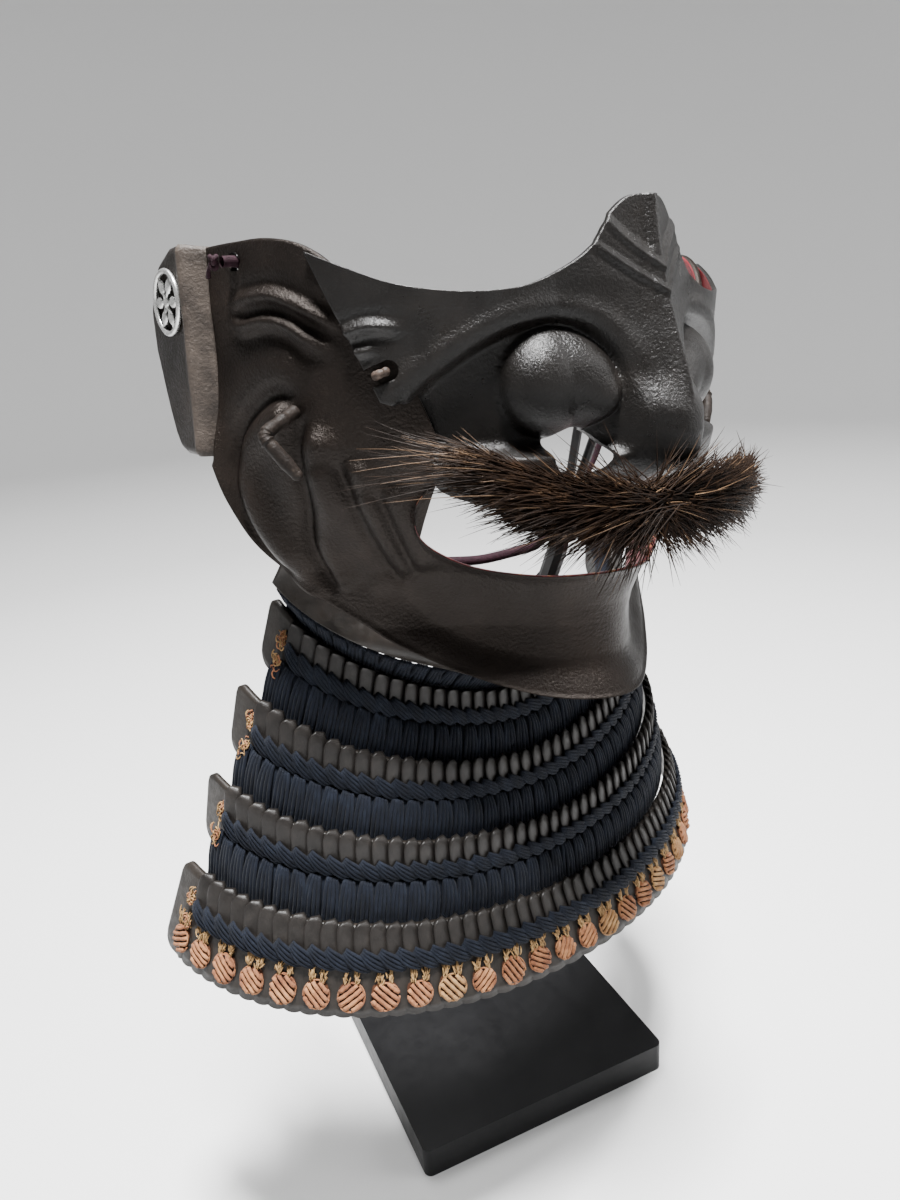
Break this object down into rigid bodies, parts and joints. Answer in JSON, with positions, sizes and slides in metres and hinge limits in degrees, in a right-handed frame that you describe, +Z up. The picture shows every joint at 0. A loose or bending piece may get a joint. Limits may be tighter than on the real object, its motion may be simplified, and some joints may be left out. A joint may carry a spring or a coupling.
{
  "type": "samurai face guard on a display stand",
  "caption": "Half-face war mask of lacquered iron with a nose piece, bristle moustache and a laced throat guard, held on a flat black stand with a bent rod.",
  "frame": {"origin": "centre of the stand's base plate, on its underside", "axes": "+Z up, the front of the base plate and the face towards -Y, the wearer's left towards +X"},
  "size_m": [0.2134, 0.1857, 0.3395],
  "materials": {
    "russet_iron": "grained dark brown lacquer",
    "worn_stud": "worn dark metal",
    "silver_crest": "bright silver",
    "purple_cord": "braided cord",
    "bristle": "stiff brown bristle",
    "scale_lacquer": "dark lacquered scales",
    "navy_lacing": "navy braided silk",
    "stand_black": "satin black"
  },
  "bodies": {
    "root": {"mask_bowl": "russet_iron", "nose_piece": "russet_iron", "nose_stud_right": "worn_stud", "nose_stud_left": "worn_stud", "ear_flange_right": "russet_iron", "ear_flange_left": "russet_iron", "crest_right": "silver_crest", "crest_left": "silver_crest", "cheek_hook_right": "russet_iron", "cheek_hook_left": "russet_iron", "cord_knot_right": "purple_cord", "cord_knot_left": "purple_cord", "tie_cord": "purple_cord", "moustache": "bristle", "throat_strip": "scale_lacquer", "lacing_0": "navy_lacing", "throat_lame_1": "scale_lacquer", "throat_lame_2": "scale_lacquer", "throat_lame_3": "scale_lacquer", "throat_lame_4": "scale_lacquer", "braid_1": "navy_lacing", "braid_2": "navy_lacing", "braid_3": "navy_lacing", "braid_4": "navy_lacing", "lacing_1": "navy_lacing", "lacing_2": "navy_lacing", "lacing_3": "navy_lacing", "stand_base": "stand_black", "stand_post": "stand_black"}
  },
  "joints": []
}
